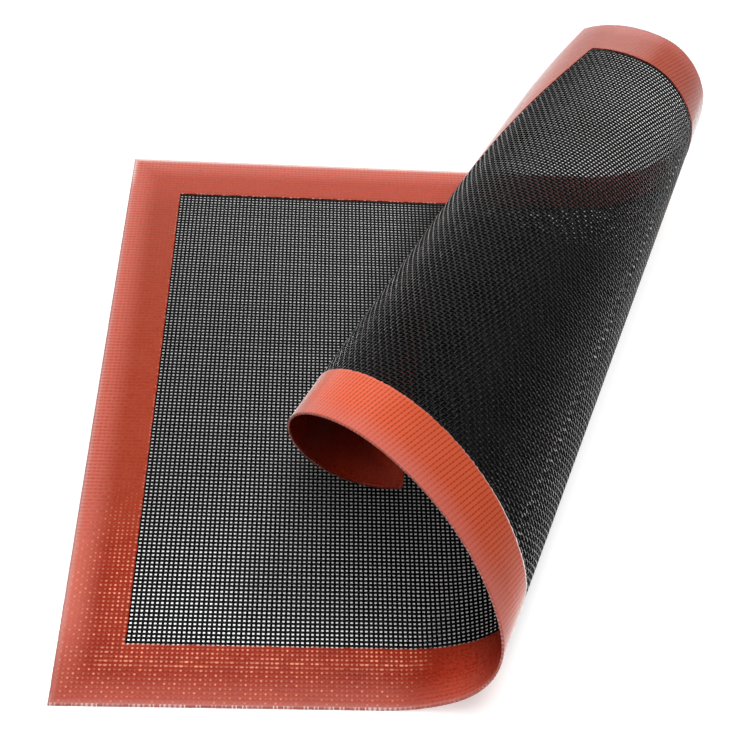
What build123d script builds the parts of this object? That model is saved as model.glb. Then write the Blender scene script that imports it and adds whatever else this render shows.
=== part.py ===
"""A baking mat, lying flat on its left and rolled over itself on its right.

The mat is a rectangle of open glass-fibre net coated in silicone, with a band of silicone
along its four edges on both faces. It never stretches: the roll is a developable sheet, so
every ruling of the roll is a straight line of the flat mat.
"""

from build123d import *

import os
from math import ceil, cos, floor, radians, sin, tan

import numpy as np

# The mat before it was rolled, in millimetres. Its front left corner is where x and y are zero.
mat_length = 400.0  # along the front edge
mat_depth = 300.0  # from the front edge to the back edge
border_width = 25.0

# The thicknesses. The net runs through under the border to the mat's edge.
net_thickness = 0.7
coat_thickness = 0.15  # of the silicone band on each face

# The net's gaps. The real ones are 0.8 mm wide at a pitch of 1.8 mm, far too many to cut.
gap_pitch = 11.0
gap_width = 5.0
roll_gap_pitch = 21.0
roll_gap_width = 10.5
gap_margin = 3.0  # least net between a gap and the border or the fold

# The fold line, where the mat leaves the floor, leans to the right as it goes back.
rolled_length = 280.0  # of the front edge, from the fold line to the right edge
fold_lean = 20.2  # degrees from the left edge's direction

# The roll's bends from the fold line on, each with its radius, as a share of the rolled length,
# and its turn in degrees. One more bend runs to the mat's edge, with the radius that lays that
# edge down on the mat.
bend_radius_shares = (0.193, 0.0965, 0.2035, 0.134)
bend_turns = (30.0, 91.5, 94.0, 49.0)
landing_clearance = 0.3  # between the rolled edge and the mat that it lies on
least_landing_share = 0.2  # of the bend before it
most_landing_share = 3.0

# The angle from the fold line's direction to the ruling, in degrees, at the fold line and at
# each quarter of the way from there to the mat's far corner.
ruling_fan = (0.0, 3.3, -5.7, -0.9, -3.5)

# How finely the roll is traced and lofted.
trace_step = 1.0
section_step = 5.0
corner_blunt = 1.0  # length of the last ruling, at the tip of a corner
overrun = 1.0  # how far a cutter stands out of what it cuts

# What follows from the driving dimensions.
fold_start = mat_length - rolled_length
lean = radians(fold_lean)
fold_away = np.array([cos(lean), -sin(lean), 0])
fold_along = np.array([sin(lean), cos(lean), 0])
fold_middle = np.array([fold_start, 0, 0]) + fold_along * mat_depth / 2
fold_to_corner = rolled_length * cos(lean)
up = np.array([0, 0, 1])
net_bottom = coat_thickness
net_middle = net_bottom + net_thickness / 2
net_top = net_bottom + net_thickness
mat_top = net_top + coat_thickness
whole_mat = (0, mat_length, 0, mat_depth)
window = (border_width, mat_length - border_width, border_width, mat_depth - border_width)
resting_height = mat_top / 2 + net_top + landing_clearance
bend_radii = [share * rolled_length for share in bend_radius_shares]
bend_lengths = [radius * radians(turn) for radius, turn in zip(bend_radii, bend_turns)]
bend_ends = [sum(bend_lengths[: count + 1]) for count in range(len(bend_lengths))]


def fan_at(distance):
    """The angle in radians from the fold line's direction to the ruling at a distance from it."""
    quarters = len(ruling_fan) - 1
    place = min(max(distance / fold_to_corner, 0), 1) * quarters
    first = min(floor(place), quarters - 1)
    return radians(ruling_fan[first] + (ruling_fan[first + 1] - ruling_fan[first]) * (place - first))


def ends_in(distance, rectangle):
    """Where the ruling enters and leaves a rectangle of the flat mat, along it from the trace."""
    left, right, front, back = rectangle
    start = fold_middle + fold_away * distance
    way = fold_away * sin(fan_at(distance)) + fold_along * cos(fan_at(distance))
    enters = max((front - start[1]) / way[1], (left - start[0]) / way[0])
    leaves = min((back - start[1]) / way[1], (right - start[0]) / way[0])
    return enters, leaves


def turned(side, hinge, turn):
    """A direction after a turn in radians about the unit vector of a hinge."""
    along = hinge * (side @ hinge)
    return along + (side - along) * cos(turn) + np.cross(hinge, side) * sin(turn)


def trace_roll(landing_radius):
    """Traces the rolled sheet's middle along the line that leaves the fold square to it: the
    distance from the fold, the place in space, the ruling's direction and the upper face's."""
    radii = (*bend_radii, landing_radius)
    place, travel, across = fold_middle + up * net_middle, fold_away, fold_along
    trace = [(0, place, across, up)]
    for step in range(ceil((fold_to_corner + border_width) / trace_step)):
        middle = (step + 1 / 2) * trace_step
        fan = fan_at(middle)
        radius = radii[sum(middle > end for end in bend_ends)]
        hinge = travel * sin(fan) + across * cos(fan)
        half_turn = -trace_step / radius / cos(fan) / 2
        place = place + turned(travel, hinge, half_turn) * trace_step
        travel, across = (turned(side, hinge, 2 * half_turn) for side in (travel, across))
        distance = (step + 1) * trace_step
        ruling = travel * sin(fan_at(distance)) + across * cos(fan_at(distance))
        trace.append((distance, place, ruling, np.cross(travel, across)))
    return trace


def lowest_edge(trace):
    """The lowest that the rolled sheet comes back down to, past its last named bend."""
    heights = []
    for distance, place, ruling, _ in trace:
        enters, leaves = ends_in(distance, whole_mat)
        if distance > bend_ends[-1] and enters < leaves:
            heights += [place[2] + ruling[2] * enters, place[2] + ruling[2] * leaves]
    return min(heights)


def find_landing_radius():
    """The last bend's radius: the tighter it is, the higher the sheet's edge stays."""
    tight, wide = least_landing_share * bend_radii[-1], most_landing_share * bend_radii[-1]
    while wide - tight > landing_clearance / 100:
        middle = (tight + wide) / 2
        if lowest_edge(trace_roll(middle)) > resting_height:
            tight = middle
        else:
            wide = middle
    return tight


landing_radius = find_landing_radius()
roll = trace_roll(landing_radius)


def ruling_at(distance):
    """The place, the ruling's direction and the upper face's direction at a distance."""
    step = min(floor(distance / trace_step), len(roll) - 2)
    share = distance / trace_step - step
    place, ruling, face = (
        Vector(*(before + (after - before) * share))
        for before, after in zip(roll[step][1:], roll[step + 1][1:])
    )
    return place, ruling.normalized(), face.normalized()


def distance_where(is_past):
    """The first distance from the fold at which a test of the distance comes true."""
    low, high = 0, roll[-1][0]
    while high - low > trace_step / 1000:
        middle = (low + high) / 2
        if is_past(middle):
            high = middle
        else:
            low = middle
    return high


def back_corner_distance(rectangle):
    """Where the rulings stop ending on the rectangle's back edge and end on its right edge."""
    right, back = rectangle[1], rectangle[3]

    def ends_on_right(distance):
        start = fold_middle + fold_away * distance
        way = fold_away * sin(fan_at(distance)) + fold_along * cos(fan_at(distance))
        return (right - start[0]) / way[0] < (back - start[1]) / way[1]

    return distance_where(ends_on_right)


def front_corner_distance(rectangle):
    """Where the rulings that cross the rectangle have shrunk to its blunt front right corner."""

    def is_short(distance):
        enters, leaves = ends_in(distance, rectangle)
        return leaves - enters < corner_blunt

    return distance_where(is_short)


def section_distances(rectangle):
    """The distances of the sections of the rolled part of a rectangle, up to where the rulings
    reach its back corner, and from there to its front corner."""
    stops = (0, back_corner_distance(rectangle), front_corner_distance(rectangle))
    stretches = []
    for start, stop in zip(stops, stops[1:]):
        count = ceil((stop - start) / section_step)
        stretches.append([start + (stop - start) * section / count for section in range(count + 1)])
    return stretches


def place_mat():
    """Where the mat's front left corner lies when the origin is under the middle of the mat."""
    across, back = [0], [mat_depth]
    for distance in sum(section_distances(whole_mat), []):
        place, ruling, face = ruling_at(distance)
        for end in ends_in(distance, whole_mat):
            for side in (-mat_top / 2, mat_top / 2):
                corner = place + ruling * end + face * side
                across.append(corner.X)
                back.append(corner.Y)
    return Vector(-(min(across) + max(across)) / 2, -(min(back) + max(back)) / 2)


mat_corner = place_mat()


def rolled_layer(rectangle, bottom, top):
    """The rolled part of a layer of the mat, lofted from ruling to ruling. Each section's plane
    has its x along the ruling, from where the ruling enters the rectangle, and its y upwards."""
    with BuildPart() as layer:
        for stretch in section_distances(rectangle):
            for distance in stretch:
                place, ruling, face = ruling_at(distance)
                enters, leaves = ends_in(distance, rectangle)
                start = mat_corner + place + ruling * enters
                with BuildSketch(Plane(start, x_dir=ruling, z_dir=ruling.cross(face))):
                    with Locations((0, bottom - net_middle)):
                        Rectangle(leaves - enters, top - bottom, align=Align.MIN)
            loft(ruled=True)
    return layer.part


def flat_layer(rectangle, bottom, top):
    """The part of a layer that lies flat, up to the fold line."""
    left, _, front, back = rectangle
    fold_front, fold_back = (fold_start + y * tan(lean) for y in (front, back))
    with BuildPart() as layer:
        with BuildSketch(Plane(mat_corner).offset(bottom)):
            Polygon((left, front), (fold_front, front), (fold_back, back), (left, back), align=None)
        extrude(amount=top - bottom)
    return layer.part


def count_gaps(room, pitch, width):
    """How many gaps fit in a stretch of net between its margins."""
    return floor((room - 2 * gap_margin + pitch - width) / pitch)


def rows_of_gaps(pitch, width):
    """The middles of the rows of gaps that fit between the front border and the back one."""
    front, back = window[2:]
    rows = count_gaps(back - front, pitch, width)
    first_row = (front + back - (rows - 1) * pitch) / 2
    return [first_row + row * pitch for row in range(rows)]


def gap_places():
    """The middles of the lying net's gaps, in columns from the left border to the fold line."""
    first_column = border_width + gap_margin + gap_width / 2
    places = []
    for y in rows_of_gaps(gap_pitch, gap_width):
        fold_here = fold_start + (y - gap_width / 2) * tan(lean)
        columns = count_gaps(fold_here - border_width, gap_pitch, gap_width)
        places += [(first_column + column * gap_pitch, y) for column in range(columns)]
    return places


def roll_gap_places():
    """The middles of the rolled net's gaps, in columns from the right border to the fold line."""
    first_column = mat_length - border_width - gap_margin - roll_gap_width / 2
    places = []
    for y in rows_of_gaps(roll_gap_pitch, roll_gap_width):
        fold_here = fold_start + (y + roll_gap_width / 2) * tan(lean)
        columns = count_gaps(mat_length - border_width - fold_here, roll_gap_pitch, roll_gap_width)
        places += [(first_column - column * roll_gap_pitch, y) for column in range(columns)]
    return places


def plane_on_roll(x, y):
    """The plane on the rolled sheet's middle at a point of the flat mat, with its x in the
    direction that was the mat's length."""
    from_fold = np.array([x, y, 0]) - fold_middle
    past_fold, along_fold = from_fold @ fold_away, from_fold @ fold_along

    def is_past(distance):
        return distance + along_fold * tan(fan_at(distance)) > past_fold

    distance = distance_where(is_past)
    fan = fan_at(distance)
    place, ruling, face = ruling_at(distance)
    middle = mat_corner + place + ruling * (along_fold / cos(fan))
    lengthwise = ruling.cross(face) * cos(lean + fan) + ruling * sin(lean + fan)
    return Plane(middle, x_dir=lengthwise, z_dir=face)


net_lying = flat_layer(whole_mat, net_bottom, net_top)
net_rolled = rolled_layer(whole_mat, net_bottom, net_top)
top_lying = flat_layer(whole_mat, net_top, mat_top)
top_rolled = rolled_layer(whole_mat, net_top, mat_top)
underside_lying = flat_layer(whole_mat, 0, net_bottom)
underside_rolled = rolled_layer(whole_mat, 0, net_bottom)

# What cuts the window out of a border coat, standing out above and below it.
top_window_lying = flat_layer(window, net_top - overrun, mat_top + overrun)
top_window_rolled = rolled_layer(window, net_top - overrun, mat_top + overrun)
underside_window_lying = flat_layer(window, -overrun, net_bottom + overrun)
underside_window_rolled = rolled_layer(window, -overrun, net_bottom + overrun)

# The net that lies flat, with its gaps.
with BuildPart() as net_flat:
    add(net_lying)
    with BuildSketch(Plane(mat_corner).offset(net_bottom - overrun)):
        with Locations(*gap_places()):
            Rectangle(gap_width, gap_width)
    extrude(amount=net_thickness + 2 * overrun, mode=Mode.SUBTRACT)

# The same net where it is rolled, with fewer and larger gaps.
with BuildPart() as net_roll:
    add(net_rolled)
    for x, y in roll_gap_places():
        with BuildSketch(plane_on_roll(x, y).offset(-net_thickness / 2 - overrun)):
            Rectangle(roll_gap_width, roll_gap_width)
    extrude(amount=net_thickness + 2 * overrun, mode=Mode.SUBTRACT)

# The silicone band on the upper face, which is the inside of the roll.
with BuildPart() as top_window:
    add(top_window_lying)
    add(top_window_rolled)

with BuildPart() as border_top:
    add(top_lying)
    add(top_rolled)
    add(top_window.part, mode=Mode.SUBTRACT)

# The silicone band on the underside, which the mat lies on.
with BuildPart() as border_underside_flat:
    add(underside_lying)
    add(underside_window_lying, mode=Mode.SUBTRACT)

# The same band on the outside of the roll.
with BuildPart() as border_underside_roll:
    add(underside_rolled)
    add(underside_window_rolled, mode=Mode.SUBTRACT)

net_flat.part.label = "net_flat"
net_roll.part.label = "net_roll"
border_top.part.label = "border_top"
border_underside_flat.part.label = "border_underside_flat"
border_underside_roll.part.label = "border_underside_roll"

print("landing radius", round(landing_radius, 2))
print("gaps", len(gap_places()), "lying and", len(roll_gap_places()), "rolled")
print("the mat's front left corner", mat_corner)

os.makedirs("parts", exist_ok=True)
for piece in (net_flat, net_roll, border_top, border_underside_flat, border_underside_roll):
    export_step(piece.part, f"parts/{piece.part.label}.step")
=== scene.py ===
"""A baking mat of open black net with a red silicone border, rolled over itself on its right.

The net is built thread by thread and the border as a relief over the same weave, both laid
out flat and then bent onto the roll, which never stretches them.
"""

import bpy
import numpy as np
from mathutils import Matrix, Vector


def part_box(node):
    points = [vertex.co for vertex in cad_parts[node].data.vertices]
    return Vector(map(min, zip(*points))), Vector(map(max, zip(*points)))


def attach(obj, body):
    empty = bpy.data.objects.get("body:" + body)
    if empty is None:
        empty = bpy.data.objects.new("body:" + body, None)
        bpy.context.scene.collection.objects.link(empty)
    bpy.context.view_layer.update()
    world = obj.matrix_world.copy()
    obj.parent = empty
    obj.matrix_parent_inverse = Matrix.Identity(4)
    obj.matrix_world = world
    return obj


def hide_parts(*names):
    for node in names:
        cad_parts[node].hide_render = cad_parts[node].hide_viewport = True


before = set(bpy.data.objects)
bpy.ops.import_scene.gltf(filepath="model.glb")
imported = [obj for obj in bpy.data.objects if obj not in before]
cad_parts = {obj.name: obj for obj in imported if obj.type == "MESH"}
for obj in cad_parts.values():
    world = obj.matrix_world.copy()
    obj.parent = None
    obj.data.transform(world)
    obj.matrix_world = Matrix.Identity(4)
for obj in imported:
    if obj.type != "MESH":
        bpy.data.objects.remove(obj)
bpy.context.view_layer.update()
MM = 0.001

# The flat mat, as in the CAD model. Its front left corner is where u and v are zero.
MAT_LENGTH = 400 * MM
MAT_DEPTH = 300 * MM
BORDER = 25 * MM
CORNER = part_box("net_flat")[0]
MIDDLE_HEIGHT = 0.5 * MM

# The roll, as in the CAD model: its length and the lean of its fold, the bends' radii and turns,
# and the rulings' angles at the fold and at each quarter of the way to the far corner.
ROLLED_LENGTH = 280 * MM
FOLD_START = MAT_LENGTH - ROLLED_LENGTH
FOLD_LEAN = np.radians(20.2)
BEND_RADIUS_SHARES = np.array([0.193, 0.0965, 0.2035, 0.134, 0.1126])
BEND_RADII = BEND_RADIUS_SHARES * ROLLED_LENGTH
BEND_TURNS = np.radians([30, 91.5, 94, 49])
RULING_FAN = np.radians([0, 3.3, -5.7, -0.9, -3.5])
FOLD_TO_CORNER = ROLLED_LENGTH * np.cos(FOLD_LEAN)
TRACE_STEP = 0.5 * MM
RULING_SEARCH_STEPS = 24  # in finding the ruling that a point of the mat lies on

# The weave: as many threads as the photograph shows. Thread middles lie half a cell off the
# cell middles, which are the net's holes.
CELLS_ALONG = 216
CELLS_BACK = 168
PITCH = np.array([MAT_LENGTH / CELLS_ALONG, MAT_DEPTH / CELLS_BACK])
BORDER_CELLS = BORDER / PITCH
THREAD_WIDTH = 0.9 * MM
THREAD_THICKNESS = 0.34 * MM
THREAD_WAVE = 0.165 * MM
THREAD_WANDER = 0.035 * MM
RING = 4  # points round a thread
SPLIT_DISTANCE = 75 * MM  # past the fold, where the rolled net is divided in two pieces
BEYOND = 1000 * MM  # further from the fold than any point of the mat

# The border: heights of its faces over the sheet's middle, and how far its edges waver.
COAT_HEIGHT = 0.5 * MM
DIMPLE_DEPTH = 0.1 * MM  # of the upper face over each hole
RIB_DEPTH = 0.14 * MM  # of the grooves between the ribs of the lower face
LIP_DEPTH = 0.1 * MM  # how much lower the upper face is at its edges
COAT_ROUGHNESS = 0.012 * MM
WINDOW_WAVER = 0.22 * MM
OUTER_WAVER = 0.05 * MM

# The silicones' noise, in waves per metre or per cell of the weave, and their bumps.
NET_PATCHES = 45
NET_GRAIN = 2500
NET_BUMP = 0.03 * MM
BORDER_PATCHES = 70
BORDER_GRAIN_PER_CELL = 1.6
BORDER_FINE_GRAIN = 1500
BORDER_BUMP = 0.04 * MM

NET_BLACK = (0.002, 0.002, 0.0022, 1)
NET_GREY = (0.004, 0.004, 0.0045, 1)

# The reds of the border's upper face, by place; most are painted sheen, light and shade.
RED = (0.285, 0.017, 0.004, 1)
RED_PATCH = (0.32, 0.021, 0.005, 1)
BACK_SHEEN_RED = (0.35, 0.047, 0.019, 1)
BACK_STRIP_SHEEN_RED = (0.44, 0.06, 0.03, 1)
RISING_LIT_RED = (0.62, 0.055, 0.024, 1)
DEEP_IN_SHADE_RED = (0.12, 0.0045, 0.0015, 1)
LOW_IN_LIT_RED = (0.5, 0.038, 0.012, 1)
COVERED_SHADE_RED = (0.08, 0.022, 0.014, 1)

# Its weave, points and edges.
GRAIN_RED = (0.19, 0.008, 0.002, 1)
THREAD_RED = (0.40, 0.045, 0.02, 1)
GAP_RED = (0.15, 0.01, 0.004, 1)
LIT_POINT_PINK = (0.92, 0.34, 0.19, 1)
OUTER_THIN_LIT_RED = (0.58, 0.133, 0.094, 1)
EDGE_THIN_LIT_PINK = (0.62, 0.3, 0.27, 1)
BACK_EDGE_SHEEN_PINK = (0.85, 0.62, 0.58, 1)
HALF_HOLE_PINK = (0.7, 0.42, 0.38, 1)
RIM_WHITE = (0.85, 0.62, 0.6, 1)
OUTER_WALL_LIT_RED = (0.5, 0.14, 0.11, 1)
OUTER_THREAD_END = (0.95, 0.85, 0.82, 1)
INNER_WALL_RED = (0.16, 0.012, 0.005, 1)
INNER_THREAD_END = (0.01, 0.006, 0.006, 1)

# The reds of its lower face, which is the outside of the roll; several are painted light, shade and
# sheen.
LOWER_RED = (0.48, 0.076, 0.032, 1)
LOWER_RED_PATCH = (0.505, 0.082, 0.036, 1)
CROWN_LIT_RED = (0.72, 0.107, 0.04, 1)
SIDE_LIT_RED = (0.82, 0.16, 0.09, 1)
FAR_SHADE_RED = (0.34, 0.064, 0.035, 1)
FAR_SIDE_SHEEN_RED = (0.39, 0.105, 0.075, 1)
FAR_CROWN_RED = (0.55, 0.095, 0.045, 1)
GROOVE_RED = (0.25, 0.018, 0.004, 1)
LOWER_EDGE_PINK = (0.5, 0.145, 0.125, 1)

# The white table's glow far away, round the mat, under the flat mat's front, middle and back, and
# at and behind the roll's mouth: painted light, weaker where it stands for the mat's and the roll's
# shadow. The table is also darker under the roll, a painted shadow.
FAR_GLOW = 1.0
OPEN_GLOW = 0.67
FRONT_GLOW = 0.85
MIDDLE_GLOW = 0.32
BACK_GLOW = 0.52
ROLL_GLOW = 0.23
DEEP_GLOW = 0.03
TABLE_WHITE = (0.5, 0.5, 0.5, 1)
TABLE_ROLL_SHADOW = (0.15, 0.15, 0.15, 1)
TABLE_SIZE = 12.0
OUTLINE_SOFTNESS = 8  # millimetres on each side of the lying mat's outline

# The soft lights: name, place, size and power.
LIGHTS = [
    ("overhead", (0, 0, 1.5), (0.9, 0.9), 16.5),
    ("ceiling", (0, 0, 3.0), (3.4, 3.4), 55),
    ("back", (0, 1.3, 0.7), (0.9, 0.9), 7),
    ("back_wall", (0, 3.2, 0.7), (4.0, 1.4), 25),
]

# The photograph's camera, from its fit to the mat's straight edges: its place from the mat's
# front left corner, its directions, and its lens and sensor in millimetres.
CAMERA_PLACE = np.array([86.24, -215.04, 437.64]) * MM
CAMERA_RIGHT = Vector((0.99783, -0.01505, 0.06416))
CAMERA_DOWN = Vector((0.03031, -0.75966, -0.64961))
CAMERA_FORWARD = Vector((0.05852, 0.65015, -0.75755))
CAMERA_LENS = 62.47
CAMERA_SENSOR = 36
CAMERA_CLIP_START = 10 * MM

random = np.random.default_rng(7)


def fan_at(distance):
    """The ruling's angle from the fold line at a distance from it."""
    quarters = np.linspace(0, FOLD_TO_CORNER, len(RULING_FAN))
    return np.interp(distance, quarters, RULING_FAN)


def turned(side, hinge, turn):
    """A direction after a turn about the unit vector of a hinge."""
    along = hinge * (side @ hinge)
    return along + (side - along) * np.cos(turn) + np.cross(hinge, side) * np.sin(turn)


def trace_roll():
    """Follows the sheet from the fold line on: rows of distance, place, ruling and normal."""
    away = np.array([np.cos(FOLD_LEAN), -np.sin(FOLD_LEAN), 0])
    along = np.array([np.sin(FOLD_LEAN), np.cos(FOLD_LEAN), 0])
    place = np.array([FOLD_START, 0, 0]) + along * MAT_DEPTH / 2
    travel, across = away, along
    bend_ends = np.cumsum(BEND_RADII[:-1] * BEND_TURNS)
    rows = [np.concatenate([[0], place, along, [0, 0, 1]])]
    for step in range(int((FOLD_TO_CORNER + BORDER) / TRACE_STEP)):
        middle = (step + 0.5) * TRACE_STEP
        fan = fan_at(middle)
        radius = BEND_RADII[np.searchsorted(bend_ends, middle)]
        hinge = travel * np.sin(fan) + across * np.cos(fan)
        turn = -TRACE_STEP / radius / np.cos(fan)
        place = place + turned(travel, hinge, turn / 2) * TRACE_STEP
        travel, across = turned(travel, hinge, turn), turned(across, hinge, turn)
        distance = (step + 1) * TRACE_STEP
        fan = fan_at(distance)
        ruling = travel * np.sin(fan) + across * np.cos(fan)
        rows.append(np.concatenate([[distance], place, ruling, np.cross(travel, across)]))
    return np.array(rows)


TRACE = trace_roll()


def past_fold(u, v):
    """How far a point of the flat mat is past the fold line."""
    return (u - FOLD_START) * np.cos(FOLD_LEAN) - v * np.sin(FOLD_LEAN)


def bent(u, v, height):
    """The places of points of the flat mat, at heights over the sheet's middle."""
    past = past_fold(u, v)
    along = (u - FOLD_START) * np.sin(FOLD_LEAN) + v * np.cos(FOLD_LEAN) - MAT_DEPTH / 2
    distance = past
    for _ in range(RULING_SEARCH_STEPS):
        distance = past - along * np.tan(fan_at(distance))
    place, ruling, normal = (
        np.stack(
            [np.interp(distance, TRACE[:, 0], TRACE[:, first + axis]) for axis in range(3)], axis=-1
        )
        for first in (1, 4, 7)
    )
    reach = along / np.cos(fan_at(distance))
    rolled = place + ruling * reach[:, None] + normal * height[:, None]
    flat = np.stack([u, v, height], axis=-1)
    points = np.where((past > 0)[:, None], rolled, flat)
    return points + np.array([CORNER[0], CORNER[1], MIDDLE_HEIGHT])


def make_object(name, points, faces, smooth, layers, finishes=0):
    """A mesh object from points and quads, with numbers for its points or its faces."""
    mesh = bpy.data.meshes.new(name)
    mesh.vertices.add(len(points))
    mesh.vertices.foreach_set("co", points.astype(np.float32).ravel())
    mesh.loops.add(faces.size)
    mesh.loops.foreach_set("vertex_index", faces.astype(np.int32).ravel())
    mesh.polygons.add(len(faces))
    mesh.polygons.foreach_set("loop_start", np.arange(0, faces.size, 4, dtype=np.int32))
    mesh.polygons.foreach_set("use_smooth", smooth)
    finish_numbers = np.broadcast_to(finishes, len(faces)).astype(np.int32)
    mesh.polygons.foreach_set("material_index", finish_numbers)
    for layer, (domain, values) in layers.items():
        attribute = mesh.attributes.new(layer, "FLOAT", domain)
        attribute.data.foreach_set("value", values.astype(np.float32))
    mesh.update()
    mesh.validate()
    piece = bpy.data.objects.new(name, mesh)
    bpy.context.scene.collection.objects.link(piece)
    return piece


def make_threads():
    """Every thread of the net: u, v and height of the four points round each of its crossings.
    The outermost threads lie at the border's edge or just under it."""
    first_u, first_v = int(BORDER_CELLS[0]), int(BORDER_CELLS[1]) - 1
    middles_u = (np.arange(first_u, CELLS_ALONG - first_u) + 0.5) * PITCH[0]
    middles_v = (np.arange(first_v, CELLS_BACK - first_v) + 0.5) * PITCH[1]
    middles_u += random.normal(0, THREAD_WANDER, len(middles_u))
    middles_v += random.normal(0, THREAD_WANDER, len(middles_v))
    side = np.array([-1, -1, 1, 1]) * THREAD_WIDTH / 2
    rise = np.array([-1, 1, 1, -1]) * THREAD_THICKNESS / 2
    threads = []
    for number, middle in enumerate(middles_u):
        wave = THREAD_WAVE * (1 - 2 * ((number + np.arange(len(middles_v))) % 2))
        length = np.repeat(middles_v[:, None], RING, axis=1)
        across = np.broadcast_to(middle + side, length.shape)
        threads.append(np.stack([across, length, wave[:, None] + rise]))
    for number, middle in enumerate(middles_v):
        wave = THREAD_WAVE * (2 * ((number + np.arange(len(middles_u))) % 2) - 1)
        length = np.repeat(middles_u[:, None], RING, axis=1)
        across = np.broadcast_to(middle - side, length.shape)
        threads.append(np.stack([length, across, wave[:, None] + rise]))
    return threads


def net_piece(name, threads, nearest, furthest):
    """The threads' stretches between two distances past the fold line, as closed tubes with flat
    ends: the object, the two sides that it has when flat, and its flat area."""
    points, faces, smooth, count = [], [], [], 0
    for thread in threads:
        past = past_fold(*thread[:2].mean(axis=2))
        inside = np.flatnonzero((past > nearest) & (past <= furthest))
        if len(inside) == 0 or inside[0] == len(past) - 1:
            continue
        rings = thread[:, inside[0] : inside[-1] + 2]
        length = rings.shape[1]
        points.append(rings.reshape(3, -1))
        corner = np.arange(RING)
        ring_starts = count + np.arange(length - 1)[:, None] * RING
        here = ring_starts + corner
        beside = ring_starts + (corner + 1) % RING
        tube = np.stack([here, beside, beside + RING, here + RING], axis=-1)
        faces.append(tube.reshape(-1, 4))
        last = count + (length - 1) * RING
        faces.append(np.array([count + corner[::-1], last + corner]))
        smooth.append(np.repeat([True, False], [(length - 1) * RING, 2]))
        count += length * RING
    flat = np.concatenate(points, axis=1)
    faces = np.concatenate(faces)
    piece = make_object(name, bent(*flat), faces, np.concatenate(smooth), {})
    crossings = flat.shape[1] / (2 * RING)  # each has a ring on two threads
    size = flat[:2].max(axis=1) - flat[:2].min(axis=1)
    return piece, size, crossings * PITCH[0] * PITCH[1]


def border_grid():
    """The border's grid of half cells: the steps' numbers, and which squares it fills."""
    steps = np.meshgrid(
        np.arange(2 * CELLS_ALONG + 1), np.arange(2 * CELLS_BACK + 1), indexing="ij"
    )
    low = np.round(2 * BORDER_CELLS).astype(int)
    high = np.array([2 * CELLS_ALONG, 2 * CELLS_BACK]) - low
    in_window = np.ones(steps[0][:-1, :-1].shape, bool)
    for axis in range(2):
        square = steps[axis][:-1, :-1]
        in_window &= (square >= low[axis]) & (square < high[axis])
    return steps, ~in_window


def border_piece():
    """The border as one closed frame: upper face, lower face, and the walls at its edges."""
    steps, filled = border_grid()
    used = np.zeros(steps[0].shape, bool)
    rows, columns = filled.shape
    for row in range(2):
        for column in range(2):
            used[row : row + rows, column : column + columns] |= filled
    number = np.full(used.shape, -1)
    number[used] = np.arange(used.sum())
    squares = [number[:-1, :-1], number[1:, :-1], number[1:, 1:], number[:-1, 1:]]
    upper = np.stack(squares, axis=-1)[filled]
    total = used.sum()
    sides = np.concatenate([upper[:, [k, (k + 1) % 4]] for k in range(4)])
    _, first, uses = np.unique(
        np.sort(sides, axis=1), axis=0, return_index=True, return_counts=True
    )
    rim = sides[first[uses == 1]]
    walls = np.stack([rim[:, 1], rim[:, 0], rim[:, 0] + total, rim[:, 1] + total], axis=-1)
    faces = np.concatenate([upper, upper[:, ::-1] + total, walls])

    step_u, step_v = steps[0][used], steps[1][used]
    u, v = step_u * PITCH[0] / 2, step_v * PITCH[1] / 2
    from_window = [BORDER - u, u - MAT_LENGTH + BORDER, BORDER - v, v - MAT_DEPTH + BORDER]
    inner = np.maximum.reduce(from_window)
    outer = BORDER - inner
    at_edge = np.zeros(total, bool)
    at_edge[np.unique(rim)] = True
    waver = np.where(outer < BORDER / 2, OUTER_WAVER, WINDOW_WAVER) * at_edge
    u = u + random.uniform(-1, 1, total) * waver
    v = v + random.uniform(-1, 1, total) * waver
    coat = COAT_HEIGHT + random.normal(0, COAT_ROUGHNESS, total)
    over_hole = (step_u % 2 == 0) & (step_v % 2 == 0)
    between_ribs = step_u % 2 == 0
    top = coat - LIP_DEPTH * at_edge - DIMPLE_DEPTH * over_hole
    bottom = np.maximum(RIB_DEPTH * between_ribs - coat, -COAT_HEIGHT)
    double_u, double_v = np.tile(u, 2), np.tile(v, 2)
    points = bent(double_u, double_v, np.concatenate([top, bottom]))
    is_wall = np.repeat([False, True], [2 * len(upper), len(walls)])
    finishes = np.repeat([0, 1, 0], [len(upper), len(upper), len(walls)])
    layers = {
        "flat_u": ("POINT", double_u),
        "flat_v": ("POINT", double_v),
        "outward": ("POINT", np.tile(inner / BORDER, 2)),
        "wall": ("FACE", is_wall),
    }
    return make_object("border", points, faces, ~is_wall, layers, finishes)


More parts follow.
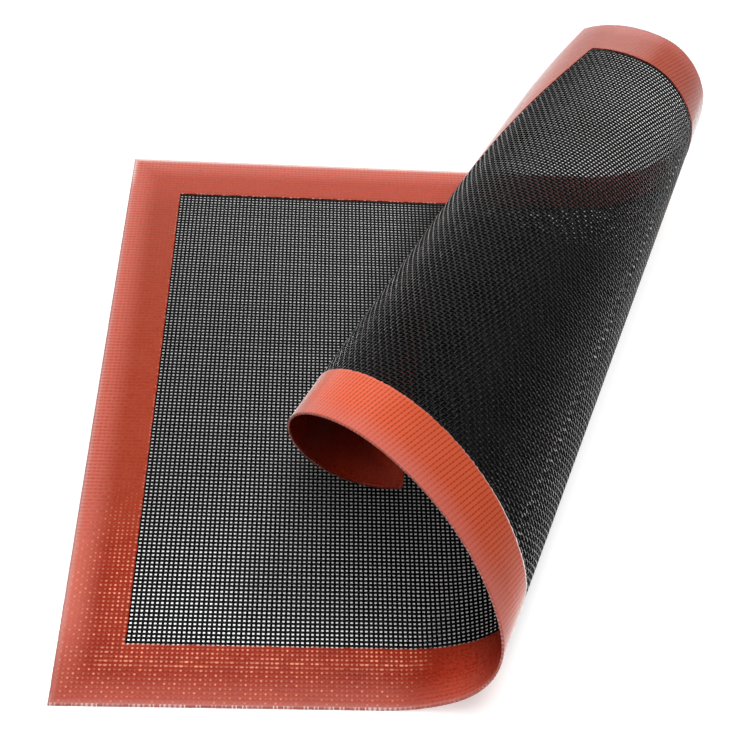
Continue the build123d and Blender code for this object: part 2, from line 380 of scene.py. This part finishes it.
class Shader:
    """A new material's nodes, with short calls for the ones used here."""

    def __init__(self, name):
        self.material = bpy.data.materials.new(name)
        self.material.use_nodes = True
        self.tree = self.material.node_tree
        self.surface = self.tree.nodes["Principled BSDF"]

    def fill(self, entry, value):
        """Gives an input a number, a colour or another node's output."""
        if isinstance(value, bpy.types.NodeSocket):
            self.tree.links.new(value, entry)
        else:
            entry.default_value = value

    def set(self, **values):
        """Fills the surface's inputs, written with underscores for spaces."""
        for name, value in values.items():
            self.fill(self.surface.inputs[name.replace("_", " ")], value)

    def number(self, name):
        """A number of the mesh's points or faces."""
        node = self.tree.nodes.new("ShaderNodeAttribute")
        node.attribute_name = name
        return node.outputs["Fac"]

    def place(self):
        """The point's place on the object."""
        return self.tree.nodes.new("ShaderNodeTexCoord").outputs["Object"]

    def math(self, operation, *values):
        """The result of an operation on numbers."""
        node = self.tree.nodes.new("ShaderNodeMath")
        node.operation = operation
        for entry, value in zip(node.inputs, values):
            self.fill(entry, value)
        return node.outputs[0]

    def times(self, *values):
        """The product of numbers."""
        product = values[0]
        for value in values[1:]:
            product = self.math("MULTIPLY", product, value)
        return product

    def axis(self, vector, number):
        """One of a vector's three numbers."""
        node = self.tree.nodes.new("ShaderNodeSeparateXYZ")
        self.fill(node.inputs[0], vector)
        return node.outputs[number]

    def vector(self, x, y, z=0.0):
        """A vector of three numbers."""
        node = self.tree.nodes.new("ShaderNodeCombineXYZ")
        for entry, value in zip(node.inputs, (x, y, z)):
            self.fill(entry, value)
        return node.outputs[0]

    def ramp(self, value, start, end, low=0.0, high=1.0):
        """Goes smoothly from low at start to high at end."""
        node = self.tree.nodes.new("ShaderNodeMapRange")
        node.interpolation_type = "SMOOTHSTEP"
        for entry, given in zip(node.inputs, (value, start, end, low, high)):
            self.fill(entry, given)
        return node.outputs[0]

    def over_mm(self, distance, start, end, low=0.0, high=1.0):
        """A ramp over a distance, with its start and end in millimetres."""
        return self.ramp(distance, start * MM, end * MM, low, high)

    def mix(self, factor, first, second):
        """A colour between two colours."""
        node = self.tree.nodes.new("ShaderNodeMix")
        node.data_type = "RGBA"
        entries = [entry for entry in node.inputs if entry.enabled]
        for entry, value in zip(entries, (factor, first, second)):
            self.fill(entry, value)
        return next(output for output in node.outputs if output.enabled)

    def noise(self, place, scale, detail=3.0):
        """Soft noise, about 0.5."""
        node = self.tree.nodes.new("ShaderNodeTexNoise")
        self.fill(node.inputs["Vector"], place)
        self.fill(node.inputs["Scale"], scale)
        self.fill(node.inputs["Detail"], detail)
        return node.outputs["Fac"]

    def chance(self, place):
        """A random number for each place."""
        node = self.tree.nodes.new("ShaderNodeTexWhiteNoise")
        node.noise_dimensions = "3D"
        self.fill(node.inputs["Vector"], place)
        return node.outputs["Value"]

    def bump(self, height, distance):
        """Makes the surface look uneven."""
        node = self.tree.nodes.new("ShaderNodeBump")
        self.fill(node.inputs["Height"], height)
        self.fill(node.inputs["Distance"], distance)
        self.fill(node.inputs["Strength"], 1.0)
        self.fill(self.surface.inputs["Normal"], node.outputs["Normal"])

    def past_fold(self, u, v):
        """How far a point of the flat mat is past the fold line."""
        ahead = self.math("SUBTRACT", u, float(FOLD_START))
        ahead = self.times(ahead, float(np.cos(FOLD_LEAN)))
        return self.math("SUBTRACT", ahead, self.times(v, float(np.sin(FOLD_LEAN))))

    def along_fold(self, u, v):
        """How far a point of the flat mat is along the fold line from its front end."""
        ahead = self.math("SUBTRACT", u, float(FOLD_START))
        ahead = self.times(ahead, float(np.sin(FOLD_LEAN)))
        return self.math("ADD", ahead, self.times(v, float(np.cos(FOLD_LEAN))))


def net_material():
    """Black silicone over glass thread: satin, here and there a little greyer."""
    shader = Shader("net_silicone")
    place = shader.place()
    patches = shader.noise(place, NET_PATCHES)
    color = shader.mix(shader.ramp(patches, 0.35, 0.7), NET_BLACK, NET_GREY)
    roughness = shader.ramp(patches, 0.3, 0.7, 0.24, 0.34)
    shader.set(Base_Color=color, Roughness=roughness, Specular_IOR_Level=0.06)
    shader.set(Sheen_Weight=1.0, Sheen_Roughness=0.1)
    shader.bump(shader.noise(place, NET_GRAIN, 2), NET_BUMP)
    return shader.material


class BorderShader(Shader):
    """A material on the border, with numbers from the weave under it."""

    def __init__(self, name):
        super().__init__(name)
        self.flat_u, self.flat_v = self.number("flat_u"), self.number("flat_v")
        self.outward = self.number("outward")
        self.past = self.past_fold(self.flat_u, self.flat_v)
        self.cell_u = self.math("DIVIDE", self.flat_u, float(PITCH[0]))
        self.cell_v = self.math("DIVIDE", self.flat_v, float(PITCH[1]))
        self.hole_u, self.hole_v = self.math("ROUND", self.cell_u), self.math("ROUND", self.cell_v)
        self.off_u = self.math("ABSOLUTE", self.math("SUBTRACT", self.cell_u, self.hole_u))
        self.off_v = self.math("ABSOLUTE", self.math("SUBTRACT", self.cell_v, self.hole_v))
        flat_place = self.vector(self.flat_u, self.flat_v)
        self.patches = self.noise(flat_place, BORDER_PATCHES)
        self.fine = self.times(self.noise(flat_place, BORDER_FINE_GRAIN, 2), 0.3)
        self.roughness = self.ramp(self.patches, 0.3, 0.7, 0.23, 0.32)


class UpperShader(BorderShader):
    """The upper face's material, with how much each place belongs to a part of the border."""

    def __init__(self, name):
        super().__init__(name)
        self.front = self.over_mm(self.flat_v, 45, 110, 1, 0.12)
        self.front_edge = self.over_mm(self.flat_v, 2, 6, 1, 0)
        self.on_table = self.over_mm(self.past, 20, 80, 1, 0)
        self.backlit = self.over_mm(self.past, 0, 15, 1, 0.1)
        self.rising = self.times(
            self.over_mm(self.past, 8, 30), self.over_mm(self.past, 90, 130, 1, 0)
        )
        self.hole_chance = self.chance(self.vector(self.hole_u, self.hole_v))
        cells = self.vector(self.cell_u, self.cell_v)
        self.grain = self.noise(cells, BORDER_GRAIN_PER_CELL, 2)

    def from_hole(self, narrowing=1.0):
        """The distance from the nearest hole's middle, in cells, less along u if narrowed."""
        side = self.math("POWER", self.times(self.off_u, narrowing), 2)
        return self.math("SQRT", self.math("ADD", side, self.math("POWER", self.off_v, 2)))

    def points(self):
        """The pale points where the red is thin over the net's holes, painted light from the bright
        table shining through them and painted glints: on all holes near the window, and weaker on
        every other one further out. They fade towards the back, and where the mat is rolled and no
        bright table lies right behind it. Many are dashes in front."""
        hole_sum = self.math("ADD", self.hole_u, self.hole_v)
        every_other = self.math("FLOORED_MODULO", hole_sum, 2)
        near = self.ramp(self.outward, 0.3, 0.55, 1, 0)
        far = self.ramp(every_other, 0, 1, 0.4, 1)
        far = self.times(far, self.ramp(self.outward, 0.6, 1.0, 0.8, 0.5))
        strength = self.times(
            self.math("MAXIMUM", near, far),
            self.ramp(self.hole_chance, 0, 0.8, 0.3, 1),
            self.ramp(self.patches, 0.3, 0.6, 0.6, 1),
        )
        strength = self.times(strength, self.front, self.backlit)
        dash_chance = self.chance(self.vector(self.hole_u, self.hole_v, 1.0))
        dash = self.over_mm(self.flat_v, 22, 26, 1, 0)
        dash = self.times(dash, self.ramp(self.outward, 0.1, 0.3))
        dash = self.times(dash, near, self.ramp(dash_chance, 0.35, 0.6))
        from_hole = self.from_hole(self.ramp(dash, 0, 1, 1, 0.55))
        return self.times(self.ramp(from_hole, 0.13, 0.32, 1, 0), strength)

    def base_red(self):
        """The red by place: paler at the back, a painted sheen; brighter where the mat rises,
        painted light; painted shade deep in the roll but for painted light on the front strip of
        its end; and a painted shadow under the roll's far end."""
        red = self.mix(self.ramp(self.patches, 0.3, 0.7), RED, RED_PATCH)
        # Painted sheen: paler at the back of the flat mat, and paler still on the back strip.
        back = self.times(self.ramp(self.front, 0, 1, 1, 0), self.on_table)
        red = self.mix(back, red, BACK_SHEEN_RED)
        red = self.mix(self.over_mm(self.flat_v, 260, 285), red, BACK_STRIP_SHEEN_RED)
        # Painted light: brighter where the mat rises off the table.
        red = self.mix(self.rising, red, RISING_LIT_RED)
        # Painted shade deep inside the roll.
        red = self.mix(self.over_mm(self.past, 115, 150), red, DEEP_IN_SHADE_RED)
        # Painted light on the lower inside of the roll, near the mouth at its front.
        low_in_lit = self.times(self.over_mm(self.past, 194, 230), self.ramp(self.outward, 0.2, 0.95))
        low_in_lit = self.times(low_in_lit, self.over_mm(self.flat_v, 25, 50, 1, 0))
        red = self.mix(low_in_lit, red, LOW_IN_LIT_RED)
        # Painted shadow on the back strip where the roll's far end covers it.
        covered = self.times(
            self.over_mm(self.flat_v, 272, 278),
            self.over_mm(self.past, -70, -35),
            self.over_mm(self.past, 60, 90, 1, 0),
        )
        return self.mix(self.times(covered, 0.55), red, COVERED_SHADE_RED)

    def woven(self, red):
        """A red with the weave's threads and gaps in it, and paler towards the mat's edge: the
        thinner silicone there, with painted light from the table behind it, which fades where the
        mat leaves the table, and a painted sheen at the back edge.
        """
        dark = self.ramp(self.grain, 0.45, 0.65)
        red = self.mix(self.times(dark, self.ramp(self.front, 0, 1, 0.12, 0.5)), red, GRAIN_RED)
        thread = self.math(
            "MAXIMUM", self.ramp(self.off_u, 0.25, 0.45), self.ramp(self.off_v, 0.25, 0.45)
        )
        lines = self.math(
            "MAXIMUM", self.ramp(self.front, 0, 1, 0.3, 0.08), self.times(self.rising, 0.35)
        )
        red = self.mix(self.times(thread, lines), red, THREAD_RED)
        # Painted light: the edge's paleness fades where the mat leaves the table, and near the
        # front.
        paler = self.times(self.on_table, self.over_mm(self.flat_v, 10, 40, 0.45, 1))
        red = self.mix(self.times(self.ramp(self.outward, 0.4, 0.95), paler), red, OUTER_THIN_LIT_RED)
        edge = self.mix(self.over_mm(self.flat_v, 275, 290), EDGE_THIN_LIT_PINK, BACK_EDGE_SHEEN_PINK)
        red = self.mix(self.times(self.ramp(self.outward, 0.88, 1, 0, 0.8), paler), red, edge)
        gap = self.times(
            self.ramp(self.off_v, 0.1, 0.42, 1, 0), self.ramp(self.off_u, 0.1, 0.42, 1, 0.45)
        )
        deep = self.math(
            "MAXIMUM",
            self.ramp(self.front, 0, 1, 0.55, 0.2),
            self.over_mm(self.past, -15, 15, 0, 0.4),
        )
        gap = self.times(gap, self.ramp(self.grain, 0.35, 0.6, 0.6, 1), deep)
        return self.mix(gap, red, GAP_RED)

    def edged(self, color):
        """A colour with pale half holes along the window and, in front, a frayed white rim, which
        fades past the fold as painted light.
        """
        half_hole = self.times(
            self.ramp(self.from_hole(), 0.25, 0.4, 1, 0),
            self.ramp(self.outward, 0.01, 0.035, 1, 0),
        )
        half_hole = self.times(half_hole, self.ramp(self.hole_chance, 0.2, 0.8, 0, 0.7))
        color = self.mix(half_hole, color, HALF_HOLE_PINK)
        rim = self.times(
            self.ramp(self.outward, 0.96, 0.98),
            self.ramp(self.off_u, 0.1, 0.3),
            self.front_edge,
            self.backlit,
        )
        rim = self.times(rim, self.ramp(self.hole_chance, 0.1, 0.9))
        return self.mix(rim, color, RIM_WHITE)

    def wall_color(self):
        """The cut edges' red, with the ends of the threads in it: white outside, black inside. The
        outer wall is paler as painted light, and the white ends are strongest at the front edge on
        the table, also painted light.
        """
        thread_end = self.ramp(self.math("MAXIMUM", self.off_u, self.off_v), 0.22, 0.38)
        thread_end = self.times(thread_end, self.ramp(self.hole_chance, 0.2, 0.8))
        lit = self.times(self.front_edge, self.backlit)
        thread_end = self.times(thread_end, self.math("MULTIPLY_ADD", lit, 0.8, 0.2))
        outer = self.mix(thread_end, OUTER_WALL_LIT_RED, OUTER_THREAD_END)
        inner = self.mix(thread_end, INNER_WALL_RED, INNER_THREAD_END)
        return self.mix(self.ramp(self.outward, 0.3, 0.7), inner, outer)


def border_upper_material():
    """Brick-red silicone over the weave, for the border's upper face and its walls."""
    shader = UpperShader("border_silicone")
    color = shader.mix(shader.points(), shader.woven(shader.base_red()), LIT_POINT_PINK)
    color = shader.mix(shader.number("wall"), shader.edged(color), shader.wall_color())
    shader.set(Base_Color=color, Roughness=shader.roughness, Specular_IOR_Level=0.12)
    weave = shader.times(shader.ramp(shader.off_u, 0, 0.5), shader.ramp(shader.off_v, 0, 0.5))
    shader.bump(shader.math("ADD", weave, shader.fine), BORDER_BUMP)
    return shader.material


def border_underside_material():
    """The border's other face, ribbed along the weave: brighter at the front of the roll's crown
    and low on its side as painted light, darker at the far end as painted shade with a painted
    sheen on its side, redder on the far crown, and paler at the mat's edge."""
    shader = BorderShader("border_underside_silicone")
    past, flat_v = shader.past, shader.flat_v
    red = shader.mix(shader.ramp(shader.patches, 0.3, 0.7), LOWER_RED, LOWER_RED_PATCH)
    # Painted light: brighter at the front of the roll's crown.
    crown = shader.times(shader.over_mm(flat_v, 30, 90, 1, 0), shader.over_mm(past, 115, 170))
    red = shader.mix(crown, red, CROWN_LIT_RED)
    # Painted shade at the far end, and a painted sheen on its side, which is paler.
    at_back = shader.over_mm(flat_v, 200, 275)
    red = shader.mix(at_back, red, FAR_SHADE_RED)
    far_side = shader.times(at_back, shader.over_mm(past, 80, 125, 1, 0))
    red = shader.mix(far_side, red, FAR_SIDE_SHEEN_RED)
    far_crown = shader.times(at_back, shader.over_mm(past, 150, 180))
    red = shader.mix(far_crown, red, FAR_CROWN_RED)
    # Painted light: brighter low on the roll's side, which faces the bright table.
    red = shader.mix(shader.over_mm(past, 52, 76, 0.9, 0), red, SIDE_LIT_RED)
    groove = shader.ramp(shader.off_u, 0.05, 0.25, 0.8, 0)
    groove = shader.times(groove, shader.ramp(shader.off_v, 0.15, 0.4, 1, 0.5))
    red = shader.mix(groove, red, GROOVE_RED)
    color = shader.mix(shader.ramp(shader.outward, 0.55, 1, 0, 0.5), red, LOWER_EDGE_PINK)
    shader.set(Base_Color=color, Roughness=shader.roughness, Specular_IOR_Level=0.1)
    shader.set(Sheen_Weight=1.0, Sheen_Roughness=0.3)
    shader.bump(shader.fine, BORDER_BUMP)
    return shader.material


def table_material():
    """White, with a glow of its own that is weaker under the mat, and weakest deep in the roll,
    where the table is also darker: painted light with the mat's and the roll's shadow painted into
    it."""
    table = Shader("table_white")
    u, v = (
        table.math("SUBTRACT", table.axis(table.place(), axis), float(CORNER[axis]))
        for axis in range(2)
    )
    past, along = table.past_fold(u, v), table.along_fold(u, v)
    on_mat = table.over_mm(past, -OUTLINE_SOFTNESS, OUTLINE_SOFTNESS, 1, 0)
    for distance, length in ((u, MAT_LENGTH), (v, MAT_DEPTH)):
        for side in (distance, table.math("SUBTRACT", length, distance)):
            inside = table.over_mm(side, -OUTLINE_SOFTNESS, OUTLINE_SOFTNESS)
            on_mat = table.times(on_mat, inside)
    in_roll = table.times(
        table.over_mm(past, -85, -55),
        table.over_mm(past, 25, 42, 1, 0),
        table.over_mm(along, 0, 40),
        table.over_mm(along, 265, 285, 1, 0),
    )
    near_half = table.over_mm(v, 20, 110, FRONT_GLOW, MIDDLE_GLOW)
    covered = table.over_mm(v, 175, 265, near_half, BACK_GLOW)
    away = table.math("ADD", table.math("POWER", u, 2), table.math("POWER", v, 2))
    open_glow = table.ramp(table.math("SQRT", away), 0.8, 1.6, OPEN_GLOW, FAR_GLOW)
    glow = table.ramp(on_mat, 0, 1, open_glow, covered)
    glow = table.times(glow, table.math("SUBTRACT", 1, in_roll))
    roll_glow = table.times(table.over_mm(along, 50, 130, ROLL_GLOW, DEEP_GLOW), in_roll)
    # Painted shadow: the table's white is darker under the roll.
    roll_shadow_mask = table.times(in_roll, table.over_mm(along, 50, 130))
    table.set(
        Base_Color=table.mix(roll_shadow_mask, TABLE_WHITE, TABLE_ROLL_SHADOW),
        Roughness=0.9,
        Emission_Color=(1, 1, 1, 1),
        Emission_Strength=table.math("ADD", glow, roll_glow),
    )
    return table.material


def make_camera():
    """The photograph's camera."""
    data = bpy.data.cameras.new("camera")
    data.sensor_width = CAMERA_SENSOR
    data.lens = CAMERA_LENS
    data.clip_start = CAMERA_CLIP_START
    camera = bpy.data.objects.new("camera", data)
    place = Vector(CAMERA_PLACE + np.array([CORNER[0], CORNER[1], MIDDLE_HEIGHT]))
    turn = Matrix((CAMERA_RIGHT, -CAMERA_DOWN, -CAMERA_FORWARD)).transposed()
    camera.matrix_world = Matrix.Translation(place) @ turn.to_4x4()
    bpy.context.scene.collection.objects.link(camera)
    bpy.context.scene.camera = camera


def soft_light(name, place, size, power):
    """A rectangular light that faces the mat's middle."""
    data = bpy.data.lights.new(name, "AREA")
    data.shape = "RECTANGLE"
    data.size, data.size_y = size
    data.energy = power
    light = bpy.data.objects.new(name, data)
    place = Vector(place)
    turn = place.to_track_quat("Z", "Y").to_matrix().to_4x4()
    light.matrix_world = Matrix.Translation(place) @ turn
    bpy.context.scene.collection.objects.link(light)


def make_studio():
    """A white table that glows a little, under soft lights from above and behind, in a white
    room that only the camera sees."""
    bpy.ops.mesh.primitive_plane_add(size=TABLE_SIZE)
    floor = bpy.context.object
    floor.name = "floor"
    floor.data.materials.append(table_material())
    world = bpy.data.worlds.new("studio")
    bpy.context.scene.world = world
    world.use_nodes = True
    background = world.node_tree.nodes["Background"]
    background.inputs["Color"].default_value = (1, 1, 1, 1)
    background.inputs["Strength"].default_value = 1
    world.cycles_visibility.diffuse = False
    world.cycles_visibility.glossy = False
    world.cycles_visibility.transmission = False
    for light in LIGHTS:
        soft_light(*light)
    bpy.context.scene.view_settings.view_transform = "Standard"


def dress(piece, materials, nodes):
    """Gives a piece its materials and place in the model, and hides the CAD parts that it stands
    for.
    """
    for each in materials:
        piece.data.materials.append(each)
    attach(piece, "root")
    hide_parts(*nodes)


make_camera()
threads = make_threads()
net_silicone = net_material()
net_stretches = [
    ("net_lying", -BEYOND, 0, "net_flat", "laid"),
    ("net_rising", 0, SPLIT_DISTANCE, "net_roll", "folded"),
    ("net_turned_over", SPLIT_DISTANCE, BEYOND, "net_roll", "folded"),
]
for name, nearest, furthest, node, held in net_stretches:
    piece, size, area = net_piece(name, threads, nearest, furthest)
    size = [float(side) for side in size]
    dress(piece, [net_silicone], [node])
border_nodes = ["border_top", "border_underside_flat", "border_underside_roll"]
finishes = [border_upper_material(), border_underside_material()]
dress(border_piece(), finishes, border_nodes)
make_studio()
